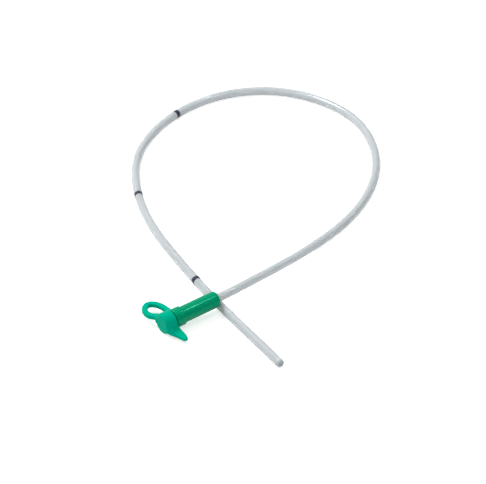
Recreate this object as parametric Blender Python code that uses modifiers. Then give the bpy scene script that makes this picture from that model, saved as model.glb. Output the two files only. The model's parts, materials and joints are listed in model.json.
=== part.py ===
"""Umbilical catheter: a soft single-lumen tube with a green connector and a tethered closure cap.

Metres, +Z up. The catheter lies on a flat surface at z = 0. The origin is on that surface, under the
middle of the connector with its closure. +X runs along the connector towards the tube, and the closure
strap is on the +Y side. The cap's rim rests on the surface, and the tube holds the connector's other end
up where it crosses over its own tail.
"""

import math

import bmesh
import bpy
import numpy as np
from mathutils import Vector

MM = 0.001

# Fits between separate pieces
FIT_GAP = 0.3 * MM
SOCKET_CLEARANCE = 0.15 * MM
PLUG_CLEARANCE = 0.2 * MM

# Catheter tube, 8 French gauge, with an open rounded tip
TUBE_OD = 2.66 * MM
TUBE_WALL = 0.45 * MM
TIP_ROUND = 0.8 * MM
TIP_SHARE = 0.82

# Connector, measured along its own axis
CONNECTOR_LENGTH = 16.25 * MM
BODY_RADIUS = 2.6 * MM
BODY_END_ROUND = 0.95 * MM
COLLAR_RADIUS = 3.0 * MM
COLLAR_LENGTH = 3.2 * MM
COLLAR_ROUND = 0.3 * MM
LUER_MOUTH_RADIUS = 2.15 * MM
LUER_TAPER = 0.03
LUER_DEPTH = 6.5 * MM
TUBE_SOCKET_DEPTH = 7.5 * MM

# Closure cap: a head that covers the mouth and a plug that fills it
CAP_RADIUS = 3.25 * MM
CAP_THICKNESS = 3.95 * MM
CAP_RIM_ROUND = 0.6 * MM
CAP_BACK_ROUND = 0.25 * MM
PLUG_LENGTH = 5.0 * MM
PLUG_NOSE_ROUND = 0.4 * MM

# Pull tab, a wing on the cap's -Y side that narrows and thins towards its tip
TAB_REACH = 5.3 * MM
TAB_CORNER = 0.35 * MM
# Each section: share of the reach, then in millimetres its front edge behind the cap's outer face, its
# back edge past the cap's back, its underside above the cap's lowest line, and its thickness
TAB_SECTIONS = (
    (-0.340, 0.70, -0.20, 0.35, 4.40),
    (-0.160, 0.70, -0.15, 0.50, 4.20),
    (-0.035, 0.80, -0.05, 0.50, 3.30),
    (0.105, 1.10, 0.10, 0.50, 2.30),
    (0.250, 1.40, 0.30, 0.50, 1.65),
    (0.460, 1.80, 0.45, 0.50, 1.28),
    (0.670, 2.10, 0.40, 0.50, 1.10),
    (0.850, 2.35, 0.20, 0.50, 1.02),
    (0.955, 2.55, -0.05, 0.55, 0.93),
    (1.000, 2.85, -0.40, 0.75, 0.55),
)

# Closure strap, a flat-sided loop on the +Y side from the cap's head round to the collar
STRAP_WIDTH = 1.8 * MM
STRAP_HEIGHT = 1.5 * MM
STRAP_CORNER = 0.5 * MM
STRAP_REACH = 8.0 * MM
STRAP_CAP_ROOT = 1.4 * MM
STRAP_POINTS = 40
# The loop's middle line: share of the way from the cap's root to the collar's root, share of the reach,
# and drop below the connector's axis in millimetres
STRAP_LOOP = (
    (0.00, 0.00, 0.20),
    (-0.01, 0.06, 0.25),
    (-0.20, 0.25, 0.50),
    (-0.29, 0.49, 0.75),
    (-0.23, 0.71, 0.90),
    (0.04, 0.925, 1.00),
    (0.40, 1.00, 1.05),
    (0.73, 0.925, 1.10),
    (0.93, 0.725, 1.05),
    (1.00, 0.46, 0.90),
    (1.00, 0.19, 0.65),
    (1.00, 0.00, 0.45),
)

# Middle of the connector's tube end, where the tube comes out
EXIT = Vector((10.65, -2.1, 4.35)) * MM

# The tube's route past the connector in millimetres: over its own tail, down to the surface, round one
# open loop, back under itself and on to the tip
TUBE_ROUTE = (
    (20.4, -1.5, 4.55),
    (30.3, 0.2, 4.05),
    (42.2, 2.8, 3.05),
    (55.9, 6.6, 2.0),
    (71.0, 12.1, 1.4),
    (84.2, 19.6, 1.33),
    (95.3, 29.9, 1.33),
    (103.2, 42.9, 1.33),
    (106.8, 57.6, 1.33),
    (104.0, 72.6, 1.33),
    (95.5, 85.3, 1.33),
    (82.3, 92.6, 1.33),
    (67.1, 93.7, 1.33),
    (51.5, 89.2, 1.33),
    (37.3, 79.4, 1.33),
    (26.7, 64.5, 1.33),
    (19.5, 46.7, 1.33),
    (15.1, 24.9, 1.33),
    (12.0, 0.8, 1.33),
    (10.3, -23.5, 1.33),
    (9.4, -36.0, 1.33),
)
TUBE_POINTS = 66
TUBE_BEVEL_RESOLUTION = 4

TURN_STEPS = 48
CORNER_STEPS = 4
WELD_DISTANCE = 0.000001

# Places along the connector's axis, from its tube end at 0 back to the cap's outer face
MOUTH = -CONNECTOR_LENGTH
CAP_BACK = MOUTH - FIT_GAP
CAP_FACE = CAP_BACK - CAP_THICKNESS

# The connector leans so that the cap's rim touches the surface
TILT = math.asin((EXIT.z - CAP_RADIUS) / -CAP_FACE)
AXIS = Vector((math.cos(TILT), 0.0, math.sin(TILT)))


def clear_scene():
    """Remove everything, so that the file always starts from an empty scene."""
    for obj in list(bpy.data.objects):
        bpy.data.objects.remove(obj, do_unlink=True)


def make_collection(name):
    """Add a collection to the scene."""
    collection = bpy.data.collections.new(name)
    bpy.context.scene.collection.children.link(collection)
    return collection


def make_material(name, colour, roughness, transmission=0.0):
    """A plain Principled material."""
    material = bpy.data.materials.new(name)
    material.use_nodes = True
    shader = material.node_tree.nodes["Principled BSDF"]
    shader.inputs["Base Color"].default_value = (*colour, 1.0)
    shader.inputs["Roughness"].default_value = roughness
    shader.inputs["Metallic"].default_value = 0.0
    shader.inputs["Transmission Weight"].default_value = transmission
    return material


def add_object(name, data, collection, material=None, parent=None):
    """Link an object for a mesh or curve, in the frame of its parent."""
    obj = bpy.data.objects.new(name, data)
    collection.objects.link(obj)
    obj.parent = parent
    if material:
        data.materials.append(material)
    return obj


def add_empty(name, collection, location, rotation=(0.0, 0.0, 0.0), parent=None):
    """An empty that carries other pieces."""
    empty = add_object(name, None, collection, parent=parent)
    empty.empty_display_size = 3 * MM
    empty.location = location
    empty.rotation_euler = rotation
    return empty


def as_guide(obj):
    """Show a shape that only cuts, joins or guides another as a wire that isn't rendered."""
    obj.hide_render = True
    obj.display_type = "WIRE"
    return obj


def arc(centre, radius, start, end, steps=CORNER_STEPS):
    """Points on an arc in a plane, with angles in degrees."""
    points = []
    for step in range(steps + 1):
        angle = math.radians(start + (end - start) * step / steps)
        points.append((centre[0] + radius * math.cos(angle), centre[1] + radius * math.sin(angle)))
    return points


def rounded_rectangle(low, high, corner):
    """Counter-clockwise outline of a rectangle with round corners."""
    radius = min(corner, 0.49 * (high[0] - low[0]), 0.49 * (high[1] - low[1]))
    left, right = low[0] + radius, high[0] - radius
    bottom, top = low[1] + radius, high[1] - radius
    return (
        arc((right, bottom), radius, -90, 0)
        + arc((right, top), radius, 0, 90)
        + arc((left, top), radius, 90, 180)
        + arc((left, bottom), radius, 180, 270)
    )


def turned(name, profile, closed, collection, material, parent):
    """Turn a profile of (radius, place along the axis) about the parent's X axis."""
    mesh = bpy.data.meshes.new(name)
    points = [(radius, 0.0, along) for radius, along in profile]
    edges = [(i, i + 1) for i in range(len(points) - 1)]
    if closed:
        edges.append((len(points) - 1, 0))
    mesh.from_pydata(points, edges, [])
    obj = add_object(name, mesh, collection, material, parent)
    obj.rotation_euler = (0.0, math.pi / 2, 0.0)
    screw = obj.modifiers.new("turn", "SCREW")
    screw.axis = "Z"
    screw.angle = math.tau
    screw.steps = TURN_STEPS
    screw.render_steps = TURN_STEPS
    screw.use_merge_vertices = True
    screw.merge_threshold = WELD_DISTANCE
    screw.use_smooth_shade = True
    weld = obj.modifiers.new("close", "WELD")
    weld.merge_threshold = WELD_DISTANCE
    return obj


def loft(name, sections, collection, parent):
    """Skin a closed solid over sections that all have the same number of points."""
    form = bmesh.new()
    rings = [[form.verts.new(point) for point in section] for section in sections]
    for ring, following in zip(rings, rings[1:]):
        for i, vertex in enumerate(ring):
            j = (i + 1) % len(ring)
            form.faces.new((vertex, ring[j], following[j], following[i]))
    form.faces.new(rings[0])
    form.faces.new(rings[-1])
    bmesh.ops.recalc_face_normals(form, faces=form.faces)
    mesh = bpy.data.meshes.new(name)
    form.to_mesh(mesh)
    form.free()
    return add_object(name, mesh, collection, parent=parent)


def smooth_line(points, count):
    """Read `count` points at equal steps along the natural cubic spline through some points."""
    knots = np.array([tuple(point) for point in points])
    spans = np.linalg.norm(np.diff(knots, axis=0), axis=1)
    places = np.concatenate(([0.0], np.cumsum(spans)))
    system = np.eye(len(knots))
    right = np.zeros_like(knots)
    for i in range(1, len(knots) - 1):
        before, after = spans[i - 1], spans[i]
        system[i, i - 1 : i + 2] = (before, 2 * (before + after), after)
        right[i] = 6 * ((knots[i + 1] - knots[i]) / after - (knots[i] - knots[i - 1]) / before)
    bends = np.linalg.solve(system, right)

    fine = np.linspace(0.0, places[-1], 40 * len(knots))
    index = np.clip(np.searchsorted(places, fine, side="right") - 1, 0, len(knots) - 2)
    span = spans[index][:, None]
    ahead = (places[index + 1] - fine)[:, None] / span
    behind = 1.0 - ahead
    line = ahead * knots[index] + behind * knots[index + 1]
    line += ((ahead**3 - ahead) * bends[index] + (behind**3 - behind) * bends[index + 1]) * span**2 / 6

    run = np.concatenate(([0.0], np.cumsum(np.linalg.norm(np.diff(line, axis=0), axis=1))))
    even = np.linspace(0.0, run[-1], count)
    return np.stack([np.interp(even, run, line[:, axis]) for axis in range(3)], axis=1)


def poly_curve(name, points, radii):
    """A three-dimensional poly line with a radius share at each point."""
    curve = bpy.data.curves.new(name, "CURVE")
    curve.dimensions = "3D"
    curve.render_resolution_u = 0
    spline = curve.splines.new("POLY")
    spline.points.add(len(points) - 1)
    for target, point, radius in zip(spline.points, points, radii):
        target.co = (*point, 1.0)
        target.radius = radius
    return curve


def build_tube(collection, material):
    """The catheter tube: its lumen runs right through, from the connector's channel to the tip."""
    hidden = TUBE_SOCKET_DEPTH - FIT_GAP
    start = [EXIT - AXIS * share * hidden for share in (1.0, 0.5, 0.0)]
    start.append(EXIT + AXIS * TUBE_OD)
    route = start + [Vector(point) * MM for point in TUBE_ROUTE]
    line = smooth_line(route, TUBE_POINTS)
    line[:, 2] = np.maximum(line[:, 2], TUBE_OD / 2)

    heading = line[-1] - line[-2]
    heading /= np.linalg.norm(heading)
    tip = [line[-1] + heading * TIP_ROUND * share for share in (0.5, 0.85, 1.0)]
    line = np.vstack([line, tip])
    radii = [1.0] * TUBE_POINTS + [0.97, 0.91, TIP_SHARE]

    curve = poly_curve("catheter_tube", line, radii)
    curve.bevel_depth = TUBE_OD / 2
    curve.bevel_resolution = TUBE_BEVEL_RESOLUTION
    tube = add_object("catheter_tube", curve, collection, material)
    wall = tube.modifiers.new("wall", "SOLIDIFY")
    wall.thickness = TUBE_WALL
    wall.offset = -1.0
    return tube


def build_connector(collection, material, parent):
    """The connector: a stepped bore through a round body with a collar at its mouth."""
    channel_radius = TUBE_OD / 2 - TUBE_WALL
    socket_radius = TUBE_OD / 2 + SOCKET_CLEARANCE
    collar_end = MOUTH + COLLAR_LENGTH
    luer_end = MOUTH + LUER_DEPTH
    profile = arc((BODY_RADIUS - BODY_END_ROUND, -BODY_END_ROUND), BODY_END_ROUND, 90, 0)
    profile.append((BODY_RADIUS, collar_end))
    profile += arc((COLLAR_RADIUS - COLLAR_ROUND, collar_end - COLLAR_ROUND), COLLAR_ROUND, 90, 0)
    profile += arc((COLLAR_RADIUS - COLLAR_ROUND, MOUTH + COLLAR_ROUND), COLLAR_ROUND, 0, -90)
    profile += [
        (LUER_MOUTH_RADIUS, MOUTH),
        (LUER_MOUTH_RADIUS - LUER_TAPER * LUER_DEPTH, luer_end),
        (channel_radius, luer_end),
        (channel_radius, -TUBE_SOCKET_DEPTH),
        (socket_radius, -TUBE_SOCKET_DEPTH),
        (socket_radius, 0.0),
    ]
    return turned("connector", profile, True, collection, material, parent)


def tab_outline(share, front, back, rise, thickness):
    """One section of the pull tab, in the connector's frame."""
    across = -(CAP_RADIUS + share * TAB_REACH)
    low = (CAP_FACE + front * MM, rise * MM - CAP_RADIUS)
    high = (CAP_BACK + back * MM, low[1] + thickness * MM)
    return [(along, across, up) for along, up in rounded_rectangle(low, high, TAB_CORNER)]


def build_cap(collection, guides, material, parent):
    """The closure cap: head, plug and pull tab in one moulding."""
    plug_root = LUER_MOUTH_RADIUS - PLUG_CLEARANCE
    plug_end = CAP_BACK + PLUG_LENGTH
    plug_tip = plug_root - LUER_TAPER * PLUG_LENGTH
    profile = [(0.0, plug_end)]
    profile += arc((plug_tip - PLUG_NOSE_ROUND, plug_end - PLUG_NOSE_ROUND), PLUG_NOSE_ROUND, 90, 0)
    profile.append((plug_root, CAP_BACK))
    profile += arc((CAP_RADIUS - CAP_BACK_ROUND, CAP_BACK - CAP_BACK_ROUND), CAP_BACK_ROUND, 90, 0)
    profile += arc((CAP_RADIUS - CAP_RIM_ROUND, CAP_FACE + CAP_RIM_ROUND), CAP_RIM_ROUND, 0, -90)
    profile.append((0.0, CAP_FACE))
    cap = turned("closure_cap", profile, False, collection, material, parent)

    tab = as_guide(loft("tab_form", [tab_outline(*row) for row in TAB_SECTIONS], guides, parent))
    join = cap.modifiers.new("tab", "BOOLEAN")
    join.operation = "UNION"
    join.solver = "EXACT"
    join.object = tab
    return cap


def build_strap(collection, guides, material, parent):
    """The closure strap: a loop that ends one fit gap short of the cap's side and of the collar."""
    cap_root = Vector((CAP_FACE + STRAP_CAP_ROOT, CAP_RADIUS + FIT_GAP, 0.0))
    collar_root = Vector((MOUTH + COLLAR_LENGTH / 2, COLLAR_RADIUS + FIT_GAP, 0.0))
    route = []
    for across, out, drop in STRAP_LOOP:
        along = cap_root.x + across * (collar_root.x - cap_root.x)
        root_side = cap_root.y if across < 0.5 else collar_root.y
        side = root_side + out * STRAP_REACH
        route.append(Vector((along, side, -drop * MM)))
    line = smooth_line(route, STRAP_POINTS)

    outline = rounded_rectangle(
        (-STRAP_WIDTH / 2, -STRAP_HEIGHT / 2), (STRAP_WIDTH / 2, STRAP_HEIGHT / 2), STRAP_CORNER
    )
    clockwise = [(x, y, 0.0) for x, y in reversed(outline)]
    section_curve = poly_curve("strap_section", clockwise, [1.0] * len(outline))
    section_curve.splines[0].use_cyclic_u = True
    section = as_guide(add_object("strap_section", section_curve, guides))

    curve = poly_curve("closure_strap", line, [1.0] * len(line))
    curve.twist_mode = "Z_UP"
    curve.bevel_mode = "OBJECT"
    curve.bevel_object = section
    curve.use_fill_caps = True
    return add_object("closure_strap", curve, collection, material, parent)


def main():
    """Build the catheter."""
    clear_scene()
    parts = make_collection("umbilical_catheter")
    guides = make_collection("guides")

    tube_plastic = make_material("translucent_tube", (0.70, 0.77, 0.77), 0.28, transmission=0.5)
    connector_plastic = make_material("green_connector", (0.0, 0.33, 0.16), 0.32)
    strap_plastic = make_material("green_strap", (0.0, 0.42, 0.24), 0.36)
    cap_plastic = make_material("green_cap", (0.0, 0.42, 0.24), 0.36)

    connector_axis = add_empty("connector_axis", parts, EXIT, (0.0, -TILT, 0.0))
    cap_slide = add_empty("cap_slide", parts, (0.0, 0.0, 0.0), parent=connector_axis)

    build_tube(parts, tube_plastic)
    build_connector(parts, connector_plastic, connector_axis)
    build_strap(parts, guides, strap_plastic, connector_axis)
    build_cap(parts, guides, cap_plastic, cap_slide)


main()
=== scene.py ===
"""The look of an umbilical catheter, built around its fixed frame.

A translucent tube lies in one open loop, crosses over its own tail and ends in an open rounded tip. Its near
end sits in a green moulded connector, whose mouth is shut by a cap with a pull tab on a short strap. Lengths
are in metres, in the frame's own coordinates: +Z up, +X along the connector towards the tube.
"""

import json
import logging
import math
from dataclasses import dataclass, field
from enum import Enum

import bpy
import numpy as np
from mathutils import Matrix, Vector


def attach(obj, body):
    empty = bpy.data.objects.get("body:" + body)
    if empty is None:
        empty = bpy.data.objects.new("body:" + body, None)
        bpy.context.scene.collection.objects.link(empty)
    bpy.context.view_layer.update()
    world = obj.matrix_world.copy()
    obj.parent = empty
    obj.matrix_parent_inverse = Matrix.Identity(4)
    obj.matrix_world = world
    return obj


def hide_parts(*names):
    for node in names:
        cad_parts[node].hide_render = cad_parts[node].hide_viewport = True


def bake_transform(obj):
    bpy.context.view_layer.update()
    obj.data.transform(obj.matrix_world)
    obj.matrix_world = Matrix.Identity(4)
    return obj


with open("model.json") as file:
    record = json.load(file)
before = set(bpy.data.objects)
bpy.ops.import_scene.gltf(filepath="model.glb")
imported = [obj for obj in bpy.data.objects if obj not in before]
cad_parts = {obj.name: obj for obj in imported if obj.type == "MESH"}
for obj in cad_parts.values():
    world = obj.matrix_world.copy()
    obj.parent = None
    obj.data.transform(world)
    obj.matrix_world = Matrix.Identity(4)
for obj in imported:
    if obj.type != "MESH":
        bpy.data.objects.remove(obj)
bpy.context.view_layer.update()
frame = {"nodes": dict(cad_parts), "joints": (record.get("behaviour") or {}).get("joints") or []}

log = logging.getLogger("umbilical_catheter")

MM = 0.001
UP = Vector((0.0, 0.0, 1.0))
WHITE = (1.0, 1.0, 1.0, 1.0)

# The middle of the connector's end face, where the tube leaves it.
TUBE_EXIT = Vector((10.65, -2.1, 4.35)) * MM

Colour = tuple[float, float, float]
Triple = tuple[float, float, float]
Pair = tuple[float, float]
Socket = bpy.types.NodeSocket


class Body(Enum):
    """The frame's bodies that a piece can move with."""

    TUBE_SIDE = "root"
    CAP_SIDE = "cap"


class Slot(Enum):
    """The record's material slots."""

    TUBE = "tube"
    CONNECTOR = "connector"
    CLOSURE = "closure"


class Nodes:
    """A node tree, with short ways to add, set and join its nodes."""

    def __init__(self, tree: bpy.types.NodeTree) -> None:
        """Work on a tree.

        Args:
            tree: The node tree.
        """
        self.tree = tree

    @staticmethod
    def fill(node: bpy.types.Node, **values: object) -> None:
        """Set a node's inputs.

        Args:
            node: The node.
            values: Input values, with underscores for the spaces in their names.
        """
        for name, value in values.items():
            node.inputs[name.replace("_", " ")].default_value = value

    def add(self, kind: str, **values: object) -> bpy.types.Node:
        """Add a node and set its inputs.

        Args:
            kind: The node's type without the ShaderNode prefix.
            values: Input values, as fill takes them.

        Returns:
            The new node.
        """
        node = self.tree.nodes.new("ShaderNode" + kind)
        self.fill(node, **values)
        return node

    def link(self, source: Socket, target: Socket) -> None:
        """Join an output to an input."""
        self.tree.links.new(source, target)

    def combine(self, operation: str, first: Socket, second: Socket) -> Socket:
        """Work one value out of two.

        Args:
            operation: The Math node's operation.
            first: The first value.
            second: The second value.

        Returns:
            The result.
        """
        node = self.add("Math")
        node.operation = operation
        self.link(first, node.inputs[0])
        self.link(second, node.inputs[1])
        return node.outputs[0]

    def spread(self, share: Socket, low: float, high: float, start: float = 0.0) -> Socket:
        """Map a value from start..1 to low..high.

        Args:
            share: The value.
            low: What it becomes at its start.
            high: What it becomes at 1.
            start: The least that the value can be.

        Returns:
            The mapped value.
        """
        node = self.add("MapRange", From_Min=start, To_Min=low, To_Max=high)
        self.link(share, node.inputs["Value"])
        return node.outputs["Result"]


class Graph(Nodes):
    """A material's node tree around one Principled shader."""

    # Most of a noise pattern lies between these two values.
    PATTERN_LOW = 0.3
    PATTERN_HIGH = 0.7

    def __init__(self, name: str) -> None:
        """Start a material.

        Args:
            name: The material's name.
        """
        self.material = bpy.data.materials.new(name)
        self.material.use_nodes = True
        super().__init__(self.material.node_tree)
        self.shader = self.tree.nodes["Principled BSDF"]
        self.output = self.tree.nodes["Material Output"]

    def noise(self, scale: float, layers: float) -> Socket:
        """Add a noise pattern that is fixed to the piece.

        Args:
            scale: Cycles a metre.
            layers: How many finer layers it has.

        Returns:
            The pattern's value, from 0 to 1.
        """
        pattern = self.add("TexNoise", Scale=scale, Detail=layers)
        self.link(self.add("TexCoord").outputs["Object"], pattern.inputs["Vector"])
        return pattern.outputs["Fac"]

    def paint(self, pattern: Socket, low: Colour, high: Colour) -> None:
        """Blend the surface's colour by a pattern.

        Args:
            pattern: The pattern.
            low: The colour where the pattern is low.
            high: The colour where it is high.
        """
        ramp = self.add("ValToRGB")
        dark, light = ramp.color_ramp.elements
        dark.position = self.PATTERN_LOW
        dark.color = (*low, 1.0)
        light.position = self.PATTERN_HIGH
        light.color = (*high, 1.0)
        self.link(pattern, ramp.inputs["Fac"])
        self.link(ramp.outputs["Color"], self.shader.inputs["Base Color"])

    def roughen(self, pattern: Socket, low: float, high: float) -> None:
        """Vary the surface's roughness by a pattern.

        Args:
            pattern: The pattern.
            low: The roughness where the pattern is low.
            high: The roughness where it is high.
        """
        self.link(self.spread(pattern, low, high), self.shader.inputs["Roughness"])

    def bump(self, pattern: Socket, depth: float, strength: float) -> None:
        """Raise the surface by a pattern.

        Args:
            pattern: The pattern.
            depth: The relief's height.
            strength: How strongly it shows, from 0 to 1.
        """
        node = self.add("Bump", Strength=strength, Distance=depth)
        self.link(pattern, node.inputs["Height"])
        self.link(node.outputs["Normal"], self.shader.inputs["Normal"])


@dataclass(frozen=True)
class MouldedPlastic:
    """Smooth moulded plastic with a faint flow mottle and a slight orange peel."""

    name: str
    colour: Colour
    deep_colour: Colour
    roughness: Pair = (0.14, 0.2)
    specular: float = 0.15
    shine: Colour = (0.15, 1.0, 0.7)
    mottle_scale: float = 420.0
    mottle_layers: float = 3.0
    peel_scale: float = 2600.0
    peel_layers: float = 2.0
    peel_depth: float = 0.012 * MM
    peel_strength: float = 0.35

    def material(self) -> bpy.types.Material:
        """Make the material.

        Returns:
            The material.
        """
        graph = Graph(self.name)
        mottle = graph.noise(self.mottle_scale, self.mottle_layers)
        graph.paint(mottle, self.deep_colour, self.colour)
        graph.roughen(mottle, *self.roughness)
        graph.fill(graph.shader, Specular_IOR_Level=self.specular, Specular_Tint=(*self.shine, 1.0))
        graph.bump(graph.noise(self.peel_scale, self.peel_layers), self.peel_depth, self.peel_strength)
        return graph.material


@dataclass(frozen=True)
class TranslucentTubing:
    """Soft extruded tubing that lets some light through, with a dulled skin."""

    name: str
    colour: Colour
    deep_colour: Colour
    transmission: float = 0.5
    refraction: float = 1.45
    roughness: Pair = (0.09, 0.13)
    mottle_scale: float = 110.0
    mottle_layers: float = 2.0
    skin_scale: float = 500.0
    skin_layers: float = 2.0
    skin_depth: float = 0.006 * MM
    skin_strength: float = 0.05

    def material(self) -> bpy.types.Material:
        """Make the material.

        Returns:
            The material.
        """
        graph = Graph(self.name)
        mottle = graph.noise(self.mottle_scale, self.mottle_layers)
        graph.paint(mottle, self.deep_colour, self.colour)
        graph.roughen(mottle, *self.roughness)
        graph.fill(graph.shader, IOR=self.refraction, Transmission_Weight=self.transmission)
        graph.bump(graph.noise(self.skin_scale, self.skin_layers), self.skin_depth, self.skin_strength)
        return graph.material


@dataclass(frozen=True)
class MarkingInk:
    """Dark printed ink, a little uneven where it lies thin."""

    name: str
    colour: Colour
    thin_colour: Colour
    roughness: float = 0.45
    blot_scale: float = 2200.0
    blot_layers: float = 3.0

    def material(self) -> bpy.types.Material:
        """Make the material.

        Returns:
            The material.
        """
        graph = Graph(self.name)
        graph.paint(graph.noise(self.blot_scale, self.blot_layers), self.thin_colour, self.colour)
        graph.fill(graph.shader, Roughness=self.roughness)
        return graph.material


@dataclass(frozen=True)
class StudioSheet:
    """The pale sheet that the catheter lies on: near white to the camera, but it keeps the shadow.

    Attributes:
        name: The sheet's name.
        colour: Its own colour.
        direct_glow: The light that it adds where the camera sees it.
        mirrored_glow: The light that it adds in reflections and through the tube.
    """

    name: str
    colour: Colour
    direct_glow: float
    mirrored_glow: float

    def material(self) -> bpy.types.Material:
        """Make the material.

        Returns:
            The material.
        """
        graph = Graph(self.name)
        graph.fill(graph.shader, Base_Color=(*self.colour, 1.0), Roughness=1.0, Specular_IOR_Level=0.0)
        rays = graph.add("LightPath").outputs
        mirrored = graph.combine("MAXIMUM", rays["Is Glossy Ray"], rays["Is Transmission Ray"])
        level = graph.combine(
            "ADD",
            graph.spread(rays["Is Camera Ray"], 0.0, self.direct_glow),
            graph.spread(mirrored, 0.0, self.mirrored_glow),
        )
        glow = graph.add("Emission", Color=WHITE)
        graph.link(level, glow.inputs["Strength"])
        total = graph.add("AddShader")
        graph.link(graph.shader.outputs[0], total.inputs[0])
        graph.link(glow.outputs[0], total.inputs[1])
        graph.link(total.outputs[0], graph.output.inputs["Surface"])
        return graph.material


TUBING = TranslucentTubing("translucent_tubing", (0.91, 0.95, 0.97), (0.88, 0.93, 0.955))
GREEN_CONNECTOR = MouldedPlastic("green_connector", (0.0, 0.37, 0.185), (0.0, 0.335, 0.16), specular=0.3)
GREEN_CLOSURE = MouldedPlastic("green_closure", (0.0, 0.50, 0.32), (0.0, 0.46, 0.29), specular=0.01)
INK = MarkingInk("marking_ink", (0.010, 0.012, 0.035), (0.035, 0.04, 0.08))


def arc(centre: Pair, radius: float, start: float, end: float, steps: int) -> list[Pair]:
    """Points on an arc in a plane.

    Args:
        centre: The arc's centre.
        radius: Its radius.
        start: The first point's angle in degrees.
        end: The last point's angle in degrees.
        steps: How many chords it has.

    Returns:
        The points, first to last.
    """
    angles = np.radians(np.linspace(start, end, steps + 1))
    return [(centre[0] + radius * math.cos(a), centre[1] + radius * math.sin(a)) for a in angles]


def circle(radius: float, sides: int) -> list[Pair]:
    """Points on a whole circle about 0.

    Args:
        radius: Its radius.
        sides: How many points it has.

    Returns:
        The points, from the first axis towards the second.
    """
    angles = np.linspace(0.0, math.tau, sides, endpoint=False)
    return [(radius * math.cos(a), radius * math.sin(a)) for a in angles]


def skin_rings(name: str, rings: list[np.ndarray], wrap: bool) -> bpy.types.Object:
    """Skin a smooth mesh over rings of points.

    Args:
        name: The piece's name.
        rings: The rings, each with the same number of points.
        wrap: Join the last ring to the first, instead of closing each end with a face.

    Returns:
        The new piece, in the scene, with its faces turned outwards.
    """
    count = len(rings[0])
    spans = len(rings) if wrap else len(rings) - 1
    faces = []
    for row in range(spans):
        near, far = row * count, (row + 1) % len(rings) * count
        for i in range(count):
            j = (i + 1) % count
            faces.append((near + i, near + j, far + j, far + i))
    if not wrap:
        faces.append(tuple(reversed(range(count))))
        faces.append(tuple(range((len(rings) - 1) * count, len(rings) * count)))
    mesh = bpy.data.meshes.new(name)
    mesh.from_pydata([tuple(point) for ring in rings for point in ring], [], faces)
    mesh.shade_smooth()
    piece = bpy.data.objects.new(name, mesh)
    bpy.context.scene.collection.objects.link(piece)
    face_outwards(piece)
    return piece


def face_outwards(piece: bpy.types.Object) -> None:
    """Turn the faces of a closed mesh outwards.

    Args:
        piece: The piece with the mesh.
    """
    bpy.context.view_layer.objects.active = piece
    piece.select_set(True)
    bpy.ops.object.mode_set(mode="EDIT")
    bpy.ops.mesh.select_all(action="SELECT")
    bpy.ops.mesh.normals_make_consistent(inside=False)
    bpy.ops.object.mode_set(mode="OBJECT")
    piece.select_set(False)


def apply_modifiers(piece: bpy.types.Object) -> None:
    """Replace a piece's mesh by what its modifiers make of it.

    Args:
        piece: The piece.
    """
    graph = bpy.context.evaluated_depsgraph_get()
    made = bpy.data.meshes.new_from_object(piece.evaluated_get(graph))
    piece.modifiers.clear()
    piece.data = made


def dress(piece: bpy.types.Object, material: bpy.types.Material) -> None:
    """Give a piece its finish.

    Args:
        piece: The piece.
        material: Its material.
    """
    piece.data.materials.clear()
    piece.data.materials.append(material)


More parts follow.
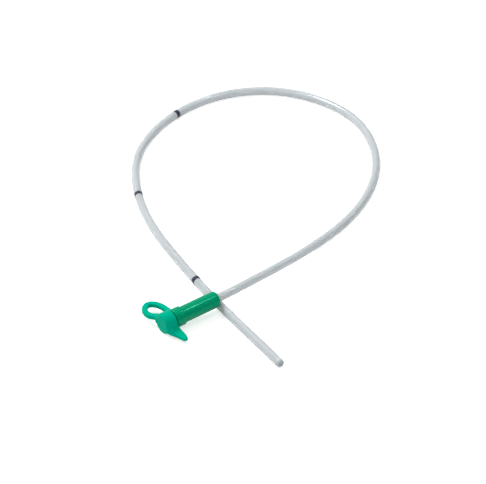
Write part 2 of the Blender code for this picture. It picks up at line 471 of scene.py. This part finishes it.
@dataclass
class Line:
    """A line in space, stored as closely spaced points.

    Attributes:
        points: The points, first to last.
        run: How far along the line each point lies.
    """

    points: np.ndarray
    run: np.ndarray = field(init=False)

    POINTS_PER_KNOT = 60

    def __post_init__(self) -> None:
        """Work out how far along the line each point lies."""
        steps = np.linalg.norm(np.diff(self.points, axis=0), axis=1)
        self.run = np.concatenate(([0.0], np.cumsum(steps)))

    @classmethod
    def through(cls, knots: list[Vector], floor: float = -math.inf) -> "Line":
        """Run the natural cubic spline through some points.

        Args:
            knots: The points.
            floor: The lowest height that the line may have.

        Returns:
            The line.
        """
        corners = np.array([tuple(knot) for knot in knots])
        spans = np.linalg.norm(np.diff(corners, axis=0), axis=1)
        places = np.concatenate(([0.0], np.cumsum(spans)))
        bends = cls.bends(corners, spans)
        fine = np.linspace(0.0, places[-1], cls.POINTS_PER_KNOT * len(corners))
        index = np.clip(np.searchsorted(places, fine, side="right") - 1, 0, len(corners) - 2)
        span = spans[index][:, None]
        ahead = (places[index + 1] - fine)[:, None] / span
        behind = 1.0 - ahead
        line = ahead * corners[index] + behind * corners[index + 1]
        line += ((ahead**3 - ahead) * bends[index] + (behind**3 - behind) * bends[index + 1]) * span**2 / 6
        line[:, 2] = np.maximum(line[:, 2], floor)
        return cls(line)

    @staticmethod
    def bends(corners: np.ndarray, spans: np.ndarray) -> np.ndarray:
        """Work out how strongly the natural cubic spline bends at each knot.

        Args:
            corners: The knots, one a row.
            spans: The distance from each knot to the next.

        Returns:
            The second derivative at each knot, which is 0 at both ends.
        """
        system = np.eye(len(corners))
        right = np.zeros_like(corners)
        for i in range(1, len(corners) - 1):
            before, after = spans[i - 1], spans[i]
            system[i, i - 1 : i + 2] = (before, 2 * (before + after), after)
            right[i] = 6 * ((corners[i + 1] - corners[i]) / after - (corners[i] - corners[i - 1]) / before)
        return np.linalg.solve(system, right)

    @property
    def length(self) -> float:
        """The line's whole length."""
        return float(self.run[-1])

    def at(self, distance: float) -> Vector:
        """Find a point of the line, which runs on straight past its ends.

        Args:
            distance: How far along the line the point is.

        Returns:
            The point.
        """
        inside = min(max(distance, 0.0), self.length)
        point = Vector([float(np.interp(inside, self.run, self.points[:, axis])) for axis in range(3)])
        return point + self.heading(inside) * (distance - inside)

    def heading(self, distance: float) -> Vector:
        """The line's direction at a distance along it."""
        index = int(np.clip(np.searchsorted(self.run, distance), 1, len(self.run) - 1))
        return Vector(self.points[index] - self.points[index - 1]).normalized()

    def ring(self, distance: float, outline: list[Pair]) -> np.ndarray:
        """Stand a flat outline square to the line.

        Args:
            distance: How far along the line it stands.
            outline: Its points of (across, up).

        Returns:
            The outline's points in space.
        """
        centre = self.at(distance)
        ahead = self.heading(distance)
        side = ahead.cross(UP).normalized()
        up = side.cross(ahead)
        return np.array([tuple(centre + side * x + up * z) for x, z in outline])


@dataclass(frozen=True)
class ConnectorAxis:
    """The straight line that the connector and its cap are turned about.

    Attributes:
        exit: Where the tube leaves the connector.
        direction: The way from the cap to the tube.
    """

    exit: Vector
    direction: Vector

    @property
    def matrix(self) -> Matrix:
        """The matrix that places a shape modelled with X along the axis.

        Returns:
            The matrix, which puts the shape's 0 at the tube's exit.
        """
        side = Vector((0.0, 1.0, 0.0))
        up = self.direction.cross(side)
        turn = Matrix((self.direction, side, up)).transposed().to_4x4()
        return Matrix.Translation(self.exit) @ turn

    def point(self, along: float, across: float = 0.0, up: float = 0.0) -> Vector:
        """A point that is given along, across and above the axis."""
        return self.matrix @ Vector((along, across, up))

    def turned(self, name: str, profile: list[Pair], sides: int) -> bpy.types.Object:
        """Turn a closed profile about the axis.

        Args:
            name: The piece's name.
            profile: Points of (radius, place along the axis), round the wall once.
            sides: How many steps the turn has.

        Returns:
            The new piece.
        """
        rings = []
        for radius, along in profile:
            ring = [tuple(self.point(along, across, up)) for across, up in circle(radius, sides)]
            rings.append(np.array(ring))
        return skin_rings(name, rings, wrap=True)


@dataclass
class CatheterTube:
    """The tube with its lumen, its open tip and its printed depth bands.

    Attributes:
        axis: The connector's axis, which the tube leaves along.
        outer_diameter: The tube's diameter.
        wall: How thick its wall is.
        hidden_length: How much of it lies inside the connector.
        tip_taper: How far the tip runs on past the even tube.
        tip_share: The tip's radius, as a share of the tube's.
        taper_steps: How many steps the taper has.
        lip_steps: How many chords the tip's rounded lip has.
        sides: How many sides the tube has.
        ring_spacing: How far apart its rings stand.
        path_points: How many points are worked out along its path; they are not kept.
        band_places: Where the bands should stand, measured from the tip.
        band_shortfall: How much nearer the tip they are printed.
        band_width: How wide each band is.
        band_relief: How far a band stands out of the tube's surface, and how deep it reaches in.
        route: Points that the tube's middle passes outside the connector, in millimetres.
    """

    axis: ConnectorAxis
    outer_diameter: float = 2.66 * MM
    wall: float = 0.45 * MM
    hidden_length: float = 7.2 * MM
    tip_taper: float = 0.8 * MM
    tip_share: float = 0.82
    taper_steps: int = 4
    lip_steps: int = 6
    sides: int = 40
    ring_spacing: float = 0.7 * MM
    path_points: int = 260
    band_places: tuple[float, ...] = (50 * MM, 100 * MM, 150 * MM)
    band_shortfall: float = 0.5 * MM
    band_width: float = 1.5 * MM
    band_relief: float = 0.02 * MM
    route: tuple[Triple, ...] = (
        (20.4, -1.5, 4.55),
        (30.3, 0.2, 4.05),
        (42.2, 2.8, 3.05),
        (55.9, 6.6, 2.0),
        (71.0, 12.1, 1.4),
        (84.2, 19.6, 1.33),
        (95.3, 29.9, 1.33),
        (103.2, 42.9, 1.33),
        (106.8, 57.6, 1.33),
        (104.0, 72.6, 1.33),
        (95.5, 85.3, 1.33),
        (82.3, 92.6, 1.33),
        (67.1, 93.7, 1.33),
        (51.5, 89.2, 1.33),
        (37.3, 79.4, 1.33),
        (26.7, 64.5, 1.33),
        (19.5, 46.7, 1.33),
        (15.1, 24.9, 1.33),
        (12.0, 0.8, 1.33),
        (10.3, -23.5, 1.33),
        (9.4, -36.0, 1.33),
    )

    def centre_line(self) -> Line:
        """Run the tube's middle line.

        Returns:
            The line, from the tube's end inside the connector to the start of its tip.
        """
        start = [self.axis.point(-self.hidden_length * share) for share in (1.0, 0.5, 0.0)]
        start.append(self.axis.point(self.outer_diameter))
        knots = start + [Vector(point) * MM for point in self.route]
        return Line.through(knots, floor=self.outer_diameter / 2)

    def wall_profile(self, length: float) -> list[Pair]:
        """Draw the tube wall's outline.

        Args:
            length: How long the middle line is.

        Returns:
            Points of (place along the line, radius), round the wall once.
        """
        outer = self.outer_diameter / 2
        lumen = outer - self.wall
        tip = outer * self.tip_share
        lip = (tip - lumen) / 2
        lip_start = self.tip_taper - lip
        places = np.linspace(0.0, length, round(length / self.ring_spacing))
        profile = [(float(place), outer) for place in places]
        for step in range(1, self.taper_steps):
            share = step / self.taper_steps
            drop = (outer - tip) * (1 - math.cos(share * math.pi / 2))
            profile.append((length + share * lip_start, outer - drop))
        for out, along in arc((0.0, 0.0), lip, 0, 180, self.lip_steps):
            profile.append((length + lip_start + along, lumen + lip + out))
        profile += [(float(place), lumen) for place in reversed(places)]
        return profile

    def build(self, tubing: bpy.types.Material, ink: bpy.types.Material) -> list[bpy.types.Object]:
        """Args:
            tubing: The tube's material.
            ink: The bands' material.

        Returns:
            The tube and the bands.
        """
        line = self.centre_line()
        profile = self.wall_profile(line.length)
        rings = [line.ring(place, circle(radius, self.sides)) for place, radius in profile]
        tube = skin_rings("catheter_tube_soft", rings, wrap=True)
        dress(tube, tubing)
        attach(tube, Body.TUBE_SIDE.value)
        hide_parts("catheter_tube")

        length = line.length + self.tip_taper
        bands = []
        for depth in self.band_places:
            bands.append(self.band(line, length - depth + self.band_shortfall, depth, ink))
        [tuple(line.at(place)) for place in np.linspace(0.0, length, self.path_points)]
        return [tube, *bands]

    def band(self, line: Line, place: float, depth: float, ink: bpy.types.Material) -> bpy.types.Object:
        """Print one band round the tube.

        Args:
            line: The tube's middle line.
            place: How far along the line the band's middle stands.
            depth: The depth that the band marks, for its name.
            ink: Its material.

        Returns:
            The band.
        """
        outer = self.outer_diameter / 2 + self.band_relief
        inner = self.outer_diameter / 2 - self.band_relief
        half = self.band_width / 2
        profile = [(-half, outer), (0.0, outer), (half, outer), (half, inner), (0.0, inner), (-half, inner)]
        rings = [line.ring(place + shift, circle(radius, self.sides)) for shift, radius in profile]
        band = skin_rings(f"depth_band_{round(depth / MM)}", rings, wrap=True)
        dress(band, ink)
        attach(band, Body.TUBE_SIDE.value)
        return band


@dataclass
class Connector:
    """The moulded connector: round body, collar at the mouth, luer socket and tube socket.

    Attributes:
        axis: The axis that it is turned about.
        length: From the mouth to the end face at the tube.
        body_radius: The round body's radius.
        end_round: How rounded the body's end is at the tube.
        collar_radius: The collar's radius.
        collar_length: How long the collar is, from the mouth.
        collar_round: How rounded the collar's edges are.
        collar_fillet: The radius in the corner between collar and body.
        luer_radius: The luer socket's radius at the mouth.
        luer_taper: How much its radius shrinks over each metre of depth.
        luer_depth: How deep it is.
        tube_radius: The tube's radius, which the tube socket is made for.
        channel_radius: The radius of the channel between the two sockets.
        socket_depth: How deep the tube socket is.
        seat_gap: The gap all round between the tube and its socket.
        lip_round: How rounded the rims of both sockets are.
        end_steps: How many chords the end's round has.
        collar_steps: How many chords each round of the collar has.
        fillet_steps: How many chords the collar's fillet has.
        lip_steps: How many chords each lip has.
        sides: How many sides the connector has.
    """

    axis: ConnectorAxis
    length: float = 16.25 * MM
    body_radius: float = 2.6 * MM
    end_round: float = 0.95 * MM
    collar_radius: float = 3.0 * MM
    collar_length: float = 3.2 * MM
    collar_round: float = 0.3 * MM
    collar_fillet: float = 0.2 * MM
    luer_radius: float = 2.15 * MM
    luer_taper: float = 0.03
    luer_depth: float = 6.5 * MM
    tube_radius: float = 1.33 * MM
    channel_radius: float = 0.88 * MM
    socket_depth: float = 7.5 * MM
    seat_gap: float = 0.04 * MM
    lip_round: float = 0.12 * MM
    end_steps: int = 12
    collar_steps: int = 6
    fillet_steps: int = 5
    lip_steps: int = 4
    sides: int = 96

    def outside(self) -> list[Pair]:
        """Draw the outer surface.

        Returns:
            Points of (radius, place along the axis), from the end face to the mouth.
        """
        mouth = -self.length
        collar_end = mouth + self.collar_length
        end = self.end_round
        fillet = self.collar_fillet
        edge = self.collar_round
        outline = arc((self.body_radius - end, -end), end, 90, 0, self.end_steps)
        outline += arc((self.body_radius + fillet, collar_end + fillet), fillet, 180, 270, self.fillet_steps)
        outline += arc((self.collar_radius - edge, collar_end - edge), edge, 90, 0, self.collar_steps)
        outline += arc((self.collar_radius - edge, mouth + edge), edge, 0, -90, self.collar_steps)
        return outline

    def inside(self) -> list[Pair]:
        """Draw the bore: luer socket, channel and tube socket.

        Returns:
            Points of (radius, place along the axis), from the mouth to the end face.
        """
        mouth = -self.length
        luer_end = mouth + self.luer_depth
        luer_floor = self.luer_radius - self.luer_taper * self.luer_depth
        socket = self.tube_radius + self.seat_gap
        lip = self.lip_round
        outline = arc((self.luer_radius + lip, mouth + lip), lip, -90, -180, self.lip_steps)
        outline += [
            (luer_floor, luer_end),
            (self.channel_radius, luer_end),
            (self.channel_radius, -self.socket_depth),
            (socket, -self.socket_depth),
        ]
        outline += arc((socket + lip, -lip), lip, 180, 90, self.lip_steps)
        return outline

    def build(self, plastic: bpy.types.Material) -> bpy.types.Object:
        """Make the connector.

        Args:
            plastic: Its material.

        Returns:
            The connector.
        """
        connector = self.axis.turned("moulded_connector", self.outside() + self.inside(), self.sides)
        dress(connector, plastic)
        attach(connector, Body.TUBE_SIDE.value)
        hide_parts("connector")
        return connector


@dataclass
class ClosureStrap:
    """The flat-sided loop that ties the cap to the connector's collar.

    Attributes:
        axis: The axis that the connector and the cap share.
        connector: The connector.
        width: How wide the strap is.
        height: How thick it is.
        corner: How rounded its edges are.
        corner_steps: How many chords each edge's round has.
        reach: How far the loop stands out from the cap and the collar.
        fit_gap: The gap that the frame's solids keep to each other.
        cap_root: How far behind the cap's outer face the strap leaves the head.
        cap_radius: The radius of the cap's head.
        cap_thickness: How thick the head is.
        bury: How deep each root reaches into what carries it.
        cap_root_drop: How far below the axis the root in the cap lies.
        collar_root_drop: How far below the axis the root in the collar lies.
        flare: How much larger the strap is at its roots, as a share.
        flare_length: How far the flare reaches.
        flare_falloff: How steeply it dies away over that length.
        stations: How many rings the strap has.
        loop: Points of the loop, from cap to collar: the share of the way from one root to the other, the
            share of the reach, and the drop below the axis in millimetres.
    """

    axis: ConnectorAxis
    connector: Connector
    width: float = 1.8 * MM
    height: float = 1.5 * MM
    corner: float = 0.45 * MM
    corner_steps: int = 6
    reach: float = 8.0 * MM
    fit_gap: float = 0.3 * MM
    cap_root: float = 1.4 * MM
    cap_radius: float = 3.25 * MM
    cap_thickness: float = 3.95 * MM
    bury: float = 0.9 * MM
    cap_root_drop: float = 0.2 * MM
    collar_root_drop: float = 0.35 * MM
    flare: float = 0.6
    flare_length: float = 2.2 * MM
    flare_falloff: float = 3.0
    stations: int = 90
    loop: tuple[Triple, ...] = (
        (0.00, 0.00, 0.20),
        (-0.01, 0.06, 0.25),
        (-0.20, 0.25, 0.50),
        (-0.29, 0.49, 0.75),
        (-0.23, 0.71, 0.90),
        (0.04, 0.925, 1.00),
        (0.40, 1.00, 1.05),
        (0.73, 0.925, 1.10),
        (0.93, 0.725, 1.05),
        (1.00, 0.46, 0.90),
        (1.00, 0.19, 0.65),
        (1.00, 0.00, 0.45),
    )

    def middle_line(self) -> Line:
        """Run the strap's middle line.

        Returns:
            The line, from inside the cap's head round to inside the collar.
        """
        head_back = -self.connector.length - self.fit_gap
        cap_along = head_back - self.cap_thickness + self.cap_root
        collar_along = -self.connector.length + self.connector.collar_length / 2
        cap_side = self.cap_radius + self.fit_gap
        collar_side = self.connector.collar_radius + self.fit_gap
        knots = [self.axis.point(cap_along, self.cap_radius - self.bury, -self.cap_root_drop)]
        for across, out, drop in self.loop:
            along = cap_along + across * (collar_along - cap_along)
            side = (cap_side if across < 0.5 else collar_side) + out * self.reach
            knots.append(self.axis.point(along, side, -drop * MM))
        collar_root = self.connector.collar_radius - self.bury
        knots.append(self.axis.point(collar_along, collar_root, -self.collar_root_drop))
        return Line.through(knots)

    def section(self, scale: float) -> list[Pair]:
        """Draw the strap's rounded outline.

        Args:
            scale: Its width and height, as a share of the plain strap's.

        Returns:
            Its points of (across, up).
        """
        half_width = self.width / 2 * scale
        half_height = self.height / 2 * scale
        outline = []
        for turn, x, z in ((0, 1, 1), (90, -1, 1), (180, -1, -1), (270, 1, -1)):
            centre = (x * (half_width - self.corner), z * (half_height - self.corner))
            outline += arc(centre, self.corner, turn, turn + 90, self.corner_steps)
        return outline

    def build(self, plastic: bpy.types.Material) -> bpy.types.Object:
        """Make the strap, which loops between collar and cap.

        Args:
            plastic: Its material.

        Returns:
            The strap.
        """
        line = self.middle_line()
        rings = []
        for distance in np.linspace(0.0, line.length, self.stations):
            from_root = max(min(distance, line.length - distance) - self.bury, 0.0)
            swell = self.flare * math.exp(-from_root / self.flare_length * self.flare_falloff)
            rings.append(line.ring(distance, self.section(1.0 + swell)))
        strap = skin_rings("tether_strap", rings, wrap=False)
        dress(strap, plastic)
        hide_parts("closure_strap")
        start = line.at(line.length - self.bury)
        end = line.at(self.bury)
        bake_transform(strap)
        return strap


@dataclass
class ClosureCap:
    """The cap's head, plug and pull tab, in one smooth moulding.

    Attributes:
        voxel: How fine the cap's even mesh is.
        smoothing: How far each round of smoothing moves a point, as a share.
        smoothing_rounds: How many rounds there are.
    """

    voxel: float = 0.09 * MM
    smoothing: float = 0.5
    smoothing_rounds: int = 6

    def build(self, plastic: bpy.types.Material) -> bpy.types.Object:
        """Make the cap: the frame's solid with its edges and inner corners eased.

        Args:
            plastic: Its material.

        Returns:
            The cap.
        """
        solid = frame["nodes"]["closure_cap"]
        cap = bpy.data.objects.new("tab_cap", solid.data.copy())
        bpy.context.scene.collection.objects.link(cap)
        remesh = cap.modifiers.new("even", "REMESH")
        remesh.mode = "VOXEL"
        remesh.voxel_size = self.voxel
        remesh.use_smooth_shade = True
        ease = cap.modifiers.new("ease", "SMOOTH")
        ease.factor = self.smoothing
        ease.iterations = self.smoothing_rounds
        apply_modifiers(cap)
        dress(cap, plastic)
        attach(cap, Body.CAP_SIDE.value)
        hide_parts("closure_cap")
        return cap


@dataclass(frozen=True)
class Viewpoint:
    """The camera, which looks down on the catheter from where the photograph does.

    Attributes:
        eye: Where it stands.
        target: The point that it looks at.
        lens_mm: Its focal length.
        sensor_mm: Its sensor's width.
        nearest: The nearest distance that it sees.
        farthest: The farthest distance that it sees.
    """

    eye: Vector = Vector((-523.01, -762.52, 675.33)) * MM
    target: Vector = Vector((37.92, 22.56, 0.0)) * MM
    lens_mm: float = 280.98
    sensor_mm: float = 36.0
    nearest: float = 0.05
    farthest: float = 20.0

    def build(self) -> None:
        """Make the scene's camera."""
        data = bpy.data.cameras.new("camera")
        data.lens = self.lens_mm
        data.sensor_width = self.sensor_mm
        data.sensor_fit = "HORIZONTAL"
        data.clip_start = self.nearest
        data.clip_end = self.farthest
        camera = bpy.data.objects.new("camera", data)
        camera.location = self.eye
        camera.rotation_euler = (self.target - self.eye).to_track_quat("-Z", "Y").to_euler()
        bpy.context.scene.collection.objects.link(camera)
        bpy.context.scene.camera = camera


@dataclass(frozen=True)
class Lamp:
    """One soft round lamp, aimed at the point that the camera looks at.

    Attributes:
        name: The lamp's name.
        right: How far its direction from that point leads to the camera's right.
        away: How far it leads away from the camera, level with the sheet.
        up: How far it leads upwards.
        distance: How far off it stands.
        size: Its diameter.
        watts: Its power.
    """

    name: str
    right: float
    away: float
    up: float
    distance: float
    size: float
    watts: float

    def build(self, view: Viewpoint) -> None:
        """Make the lamp.

        Args:
            view: The camera, which gives right, away and the point to aim at.
        """
        ahead = view.target - view.eye
        away = Vector((ahead.x, ahead.y, 0.0)).normalized()
        right = away.cross(UP)
        direction = (right * self.right + away * self.away + UP * self.up).normalized()
        data = bpy.data.lights.new(self.name, "AREA")
        data.shape = "DISK"
        data.size = self.size
        data.energy = self.watts
        lamp = bpy.data.objects.new(self.name, data)
        lamp.location = view.target + direction * self.distance
        lamp.rotation_euler = (-direction).to_track_quat("-Z", "Y").to_euler()
        bpy.context.scene.collection.objects.link(lamp)


@dataclass(frozen=True)
class StudioSky:
    """A white sky that is brighter overhead and on one side.

    Attributes:
        horizon_level: Its strength at the horizon and below.
        zenith_level: Its strength overhead.
        bright_from: The level direction that it is brightest in.
        dark_side: What its strength is multiplied by on the darkest side.
        bright_side: What its strength is multiplied by on the brightest side.
    """

    horizon_level: float = 0.28
    zenith_level: float = 0.42
    bright_from: Triple = (-0.81, 0.58, 0.0)
    dark_side: float = 0.4
    bright_side: float = 1.7

    def build(self) -> None:
        """Make the scene's world."""
        world = bpy.data.worlds.new("studio_sky")
        world.use_nodes = True
        nodes = Nodes(world.node_tree)
        direction = nodes.add("TexCoord").outputs["Generated"]
        parts = nodes.add("SeparateXYZ")
        nodes.link(direction, parts.inputs[0])
        sideways = nodes.add("VectorMath")
        sideways.operation = "DOT_PRODUCT"
        sideways.inputs[1].default_value = self.bright_from
        nodes.link(direction, sideways.inputs[0])
        strength = nodes.combine(
            "MULTIPLY",
            nodes.spread(parts.outputs["Z"], self.horizon_level, self.zenith_level),
            nodes.spread(sideways.outputs["Value"], self.dark_side, self.bright_side, start=-1.0),
        )
        background = nodes.tree.nodes["Background"]
        nodes.fill(background, Color=WHITE)
        nodes.link(strength, background.inputs["Strength"])
        bpy.context.scene.world = world


@dataclass(frozen=True)
class Studio:
    """The camera, a plain pale sheet, the sky and soft lamps."""

    view: Viewpoint = Viewpoint()
    sky: StudioSky = StudioSky()
    sheet: StudioSheet = StudioSheet("studio_sheet", (0.88, 0.88, 0.88), direct_glow=0.62, mirrored_glow=0.15)
    sheet_size: float = 8.0
    lamps: tuple[Lamp, ...] = (
        Lamp("key_lamp", right=-0.4, away=0.34, up=0.85, distance=1.2, size=0.4, watts=9.5),
        Lamp("fill_lamp", right=0.35, away=-0.8, up=0.5, distance=1.2, size=0.6, watts=1.3),
        Lamp("top_lamp", right=0.478, away=0.149, up=0.865, distance=1.0, size=0.1, watts=1.0),
    )

    def build(self) -> None:
        """Make all of the studio."""
        self.view.build()
        bpy.ops.mesh.primitive_plane_add(size=self.sheet_size)
        floor = bpy.context.active_object
        floor.name = self.sheet.name
        floor.data.materials.append(self.sheet.material())
        self.sky.build()
        for lamp in self.lamps:
            lamp.build(self.view)


def main() -> None:
    """Build the studio and every piece, and report the pieces."""
    logging.basicConfig(level=logging.INFO)
    bpy.context.scene.view_settings.view_transform = "Standard"
    Studio().build()

    pull = Vector(frame["joints"][0]["axis"])
    axis = ConnectorAxis(TUBE_EXIT, -pull.normalized())
    connector = Connector(axis)
    closure = GREEN_CLOSURE.material()
    pieces = CatheterTube(axis).build(TUBING.material(), INK.material())
    pieces.append(connector.build(GREEN_CONNECTOR.material()))
    pieces.append(ClosureStrap(axis, connector).build(closure))
    pieces.append(ClosureCap().build(closure))
    for piece in pieces:
        log.info("%s: %d faces", piece.name, len(piece.data.polygons))


if __name__ == "__main__":
    main()
